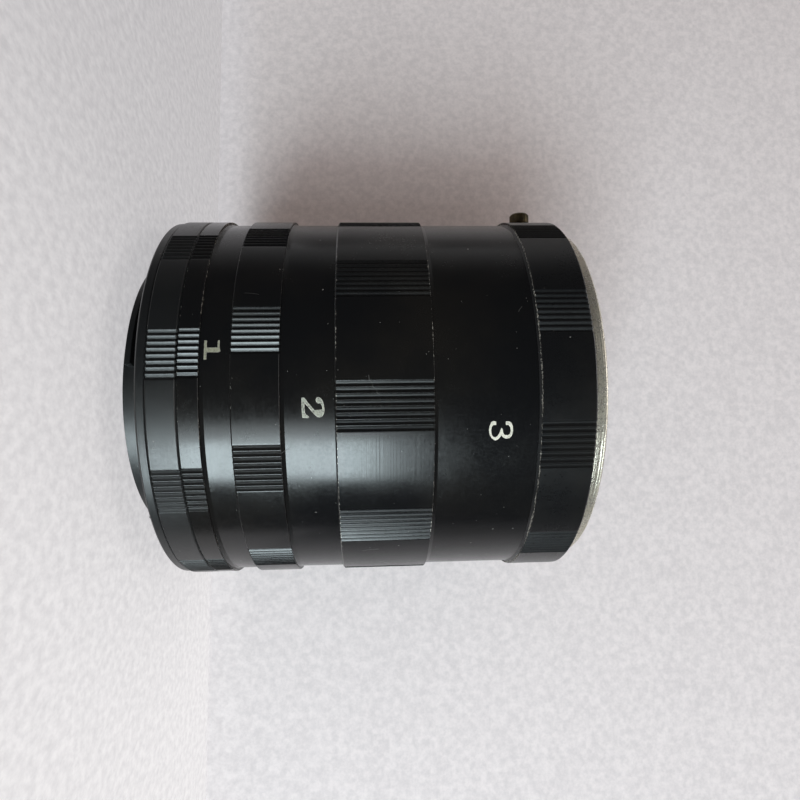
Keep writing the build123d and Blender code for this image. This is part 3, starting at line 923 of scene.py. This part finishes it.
# Stage. The set stands on a pale felt floor. Behind it stands a sheet of the same felt that
# touches the widest bands: in the photograph the set lies on it. Both show their front alone.

floor_pale, sheet_pale = (0.88, 0.87, 0.88, 1), (0.745, 0.688, 0.698, 1)
# The glows are painted light: each pair runs from a dimmer glow on the far side to a brighter one
# towards the window.
floor_glows = (0.54, 0.53, 0.55, 1), (0.97, 0.955, 0.97, 1)
sheet_glows = (0.60, 0.585, 0.605, 1), (0.80, 0.785, 0.80, 1)
felt_dark, felt_light = (0.89, 0.89, 0.895, 1), (1.11, 1.11, 1.105, 1)
glow_share = 0.7


def stage_plane(name, half_size, place, tilt):
    bpy.ops.object.select_all(action="DESELECT")
    bpy.ops.mesh.primitive_plane_add(size=2 * half_size, location=(0, 0, 0))
    plane = bpy.context.active_object
    plane.name = plane.data.name = name
    plane.rotation_euler = tilt
    plane.location = place
    settle(plane)
    return plane


def multiply_colour(tree, first, second):
    node = tree.nodes.new("ShaderNodeVectorMath")
    node.operation = "MULTIPLY"
    feed(tree, node.inputs[0], first)
    feed(tree, node.inputs[1], second[:3] if isinstance(second, tuple) else second)
    return node.outputs[0]


def stage_material(name, paper_colour, glows, mirrored):
    """Pale matt felt with a glow of its own, seen from its front alone.

    Glossy rays see it where it is mirrored, and only beside the object."""
    material = bpy.data.materials.new(name)
    material.use_nodes = True
    tree = material.node_tree
    tree.nodes.clear()
    place = tree.nodes.new("ShaderNodeTexCoord").outputs["Object"]
    axes = tree.nodes.new("ShaderNodeSeparateXYZ")
    feed(tree, axes.inputs[0], place)
    path = tree.nodes.new("ShaderNodeLightPath").outputs
    nap = place if mirrored else multiply_colour(tree, place, (1.0, 0.75, 1.0))
    tufts = ramp(tree, noise(tree, nap, 800.0, 4.0, 0.6), 0.2, 0.8)
    felt = blend_colour(tree, tufts, felt_dark, felt_light)
    aside = maths(tree, "ABSOLUTE", axes.outputs[0])
    # Painted shade: rays other than the camera's see the felt darker, and darker still farther to
    # either side of the set, so the sheet mirrored in the set dims outwards.
    far_dimmer = ramp(tree, aside, 0.03, 0.2, 0.8, 0.2)
    paper = tree.nodes.new("ShaderNodeBsdfDiffuse")
    shade = tree.nodes.new("ShaderNodeVectorMath")
    shade.operation = "SCALE"
    feed(tree, shade.inputs[0], felt)
    feed(tree, shade.inputs["Scale"], maths(tree, "MAXIMUM", path["Is Camera Ray"], far_dimmer))
    feed(tree, paper.inputs["Color"], multiply_colour(tree, shade.outputs[0], paper_colour))
    # Painted light: the felt's glow grows brighter towards the window's side of the set.
    towards_light = ramp(tree, axes.outputs[0], -0.075, 0.065)
    glow = tree.nodes.new("ShaderNodeEmission")
    glow_colour = multiply_colour(tree, felt, blend_colour(tree, towards_light, *glows))
    feed(tree, glow.inputs["Color"], glow_colour)
    distance, height = axis_parts(tree, place)
    seen = path["Is Camera Ray"]
    if mirrored:
        # On the sheet the painted glow lies only along its foot, where it meets the floor's glow.
        share = ramp(tree, height, 0.0, 0.012, glow_share, 0.0)
        beside = ramp(tree, aside, 0.029, 0.033)
        seen = maths(tree, "MAXIMUM", seen, maths(tree, "MULTIPLY", path["Is Glossy Ray"], beside))
    else:
        share = ramp(tree, distance, 0.18, 0.4, glow_share, 1.0)
    surface = tree.nodes.new("ShaderNodeMixShader")
    feed(tree, surface.inputs[0], share)
    tree.links.new(paper.outputs[0], surface.inputs[1])
    tree.links.new(glow.outputs[0], surface.inputs[2])
    clear = tree.nodes.new("ShaderNodeBsdfTransparent")
    behind = tree.nodes.new("ShaderNodeNewGeometry").outputs["Backfacing"]
    seen = maths(tree, "MULTIPLY", seen, maths(tree, "SUBTRACT", 1.0, behind))
    shown = tree.nodes.new("ShaderNodeMixShader")
    tree.links.new(seen, shown.inputs[0])
    tree.links.new(clear.outputs[0], shown.inputs[1])
    tree.links.new(surface.outputs[0], shown.inputs[2])
    output = tree.nodes.new("ShaderNodeOutputMaterial")
    tree.links.new(shown.outputs[0], output.inputs[0])
    return material


floor = stage_plane("floor", 1.6, (0, 0, 0), (0, 0, 0))
sheet = stage_plane("pale_sheet", 0.3, (0, band * mm, 0), (math.radians(90), 0, 0))
floor.data.materials.append(stage_material("floor_felt", floor_pale, floor_glows, False))
sheet.data.materials.append(stage_material("sheet_felt", sheet_pale, sheet_glows, True))


# Light. One tall window to the lower left of the photograph gives the band of light along the
# barrels; a soft lamp overhead and one on each other side light the rest at a plain level.

window_middle, set_middle = -0.09, 0.03
warm_white, cool_white, shade_white = (1.0, 0.99, 0.97), (0.9, 1.0, 1.03), (1.0, 0.97, 0.94)


def soft_lamp(name, place, target_height, width, height, radiance, colour, glossy=True):
    """A rectangular lamp that faces the axis at a height, of the same brightness at any size."""
    data = bpy.data.lights.new(name, "AREA")
    data.shape = "RECTANGLE"
    data.size, data.size_y = width, height
    data.energy = radiance * math.pi * width * height
    data.color = colour
    lamp = bpy.data.objects.new(name, data)
    bpy.context.scene.collection.objects.link(lamp)
    lamp.location = place
    lamp.rotation_mode = "QUATERNION"
    towards = Vector((0, 0, target_height)) - Vector(place)
    lamp.rotation_quaternion = towards.to_track_quat("-Z", "Y")
    lamp.visible_camera = False
    lamp.visible_glossy = glossy


def round_axis(angle, distance, height):
    """A place round the axis: angle 0 is towards the camera side, 90 is the photograph's top."""
    turn = math.radians(angle)
    return (-distance * math.sin(turn), -distance * math.cos(turn), height)


soft_lamp("window", round_axis(-47, 0.6, window_middle), window_middle, 0.262, 0.28, 13.6,
          (0.85, 1.0, 1.045))
soft_lamp("window_curtain", round_axis(-30, 0.6, window_middle), window_middle, 0.12, 0.28, 3.4,
          cool_white)
soft_lamp("room_fill", round_axis(-44, 0.7, set_middle), set_middle, 0.45, 0.45, 1.5,
          warm_white, glossy=False)
soft_lamp("overhead", (0.0, -0.05, 0.62), set_middle, 0.45, 0.45, 2.0, warm_white)
soft_lamp("far_side", round_axis(118, 0.6, 0.12), set_middle, 0.3, 0.3, 2.6, shade_white)
soft_lamp("behind", round_axis(-160, 0.6, 0.12), set_middle, 0.3, 0.3, 5.0, (0.95, 0.98, 1.0))

# The room: what glossy rays see, an even light for the rest, and the backdrop
backdrop_level = (0.66, 0.65, 0.665, 1)
room_dark, far_wall, ground = (0.045, 0.045, 0.047, 1), (0.31, 0.31, 0.315, 1), (0.4, 0.4, 0.4, 1)
even_light = (0.245, 0.21, 0.19, 1)
world = bpy.data.worlds.new("room")
bpy.context.scene.world = world
world.use_nodes = True
tree = world.node_tree
background = tree.nodes["Background"].inputs
split = tree.nodes.new("ShaderNodeSeparateXYZ")
tree.links.new(tree.nodes.new("ShaderNodeTexCoord").outputs["Generated"], split.inputs[0])
below = ramp(tree, split.outputs[2], -0.85, -0.55, 1.0, 0.0)
towards_back = ramp(tree, split.outputs[1], -0.26, 0.2)
towards_top = ramp(tree, split.outputs[0], -0.3, 0.4, 1.0, 0.0)
beyond = maths(tree, "MULTIPLY", towards_back, towards_top)
room = blend_colour(tree, beyond, room_dark, far_wall)
mirrored = blend_colour(tree, below, room, ground)
path = tree.nodes.new("ShaderNodeLightPath").outputs
colour = blend_colour(tree, path["Is Glossy Ray"], even_light, mirrored)
feed(tree, background["Color"], blend_colour(tree, path["Is Camera Ray"], colour, backdrop_level))
background["Strength"].default_value = 1.0


# Camera at the photograph's place: a phone held over the set, its picture's right towards the
# lens end.

camera_data = bpy.data.cameras.new("camera")
camera = bpy.data.objects.new("camera", camera_data)
bpy.context.scene.collection.objects.link(camera)
camera.location = (0.016159, -0.111008, 0.035783)
camera.rotation_euler = [math.radians(a) for a in (164.729, -86.880, -66.922)]
camera_data.sensor_width = 36.0
camera_data.lens = 27.246
camera_data.clip_start = 0.005
bpy.context.scene.camera = camera
bpy.context.scene.view_settings.view_transform = "Standard"
